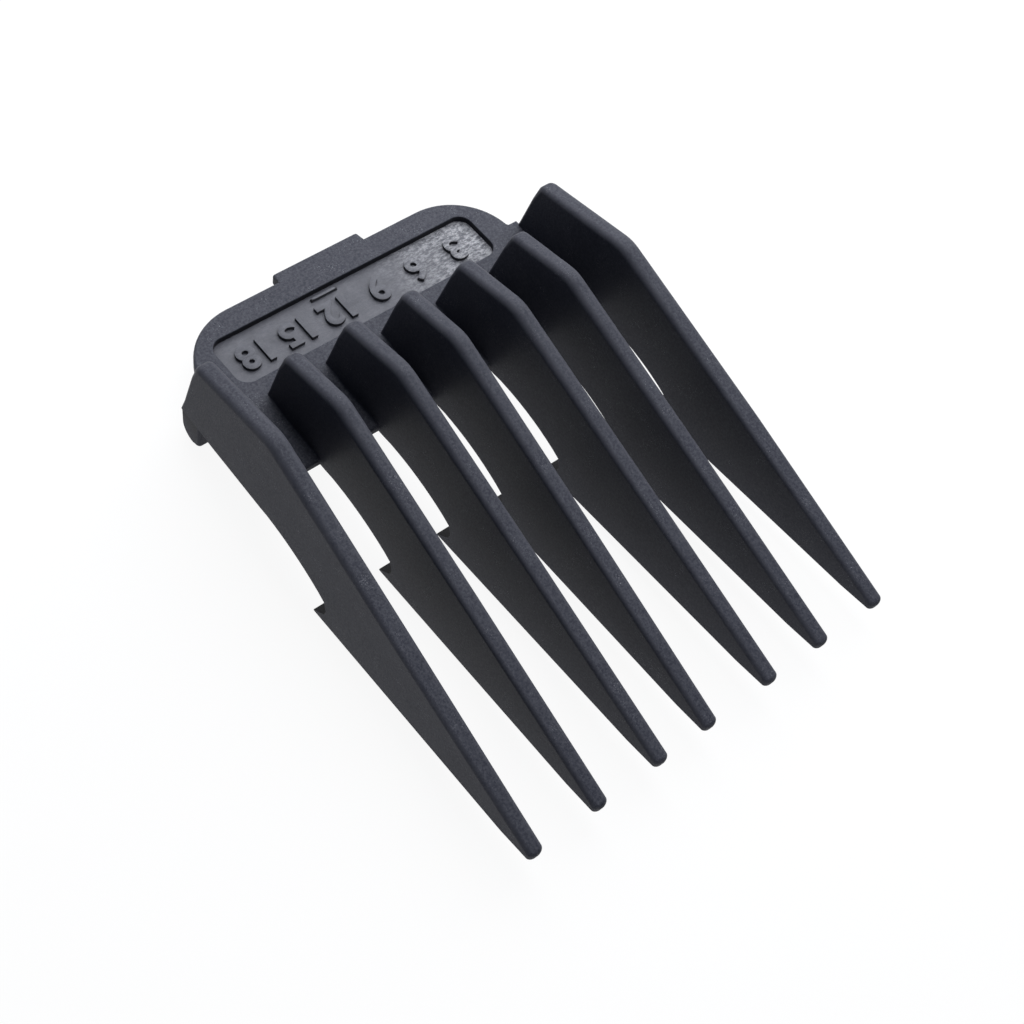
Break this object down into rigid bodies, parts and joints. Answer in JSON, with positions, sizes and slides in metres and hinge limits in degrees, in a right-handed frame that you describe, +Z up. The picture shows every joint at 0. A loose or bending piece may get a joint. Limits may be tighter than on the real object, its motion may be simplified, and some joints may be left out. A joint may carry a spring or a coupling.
{
  "type": "hair clipper guide comb",
  "caption": "Clip-on guide comb for a hair clipper: long curved teeth, a flat heel plate with a label recess, a release tab, heel lips and blade hooks.",
  "frame": {"origin": "centre of the bounding box's base, on the surface that the comb rests on", "axes": "+Y from the heel to the tooth tips, +Z up from the surface, +X towards tooth 1"},
  "size_m": [0.0476, 0.0656, 0.0164],
  "materials": {
    "comb_plastic": "charcoal moulded plastic, fine matt grain, slightly polished along the edges",
    "panel_plastic": "the same charcoal plastic with a coarse spark-eroded grain and raised marking"
  },
  "bodies": {
    "comb": {"tooth_1": "comb_plastic", "tooth_2": "comb_plastic", "tooth_3": "comb_plastic", "tooth_4": "comb_plastic", "tooth_5": "comb_plastic", "tooth_6": "comb_plastic", "tooth_7": "comb_plastic", "bridge_1_2": "comb_plastic", "bridge_2_3": "comb_plastic", "bridge_3_4": "comb_plastic", "bridge_4_5": "comb_plastic", "bridge_5_6": "comb_plastic", "bridge_6_7": "comb_plastic", "heel_lip_right": "comb_plastic", "heel_lip_left": "comb_plastic"},
    "heel": {"heel_plate": "comb_plastic", "label_panel": "panel_plastic", "release_tab": "comb_plastic", "latch_lip": "comb_plastic"}
  },
  "joints": [
    {"name": "heel_flex", "type": "hinge", "parent": "comb", "child": "heel", "pos_m": [0, -0.02106, 0.00488], "axis": [-1, 0, 0], "range_deg": [0, 6], "stiffness_Nm_per_rad": 0.5}
  ]
}
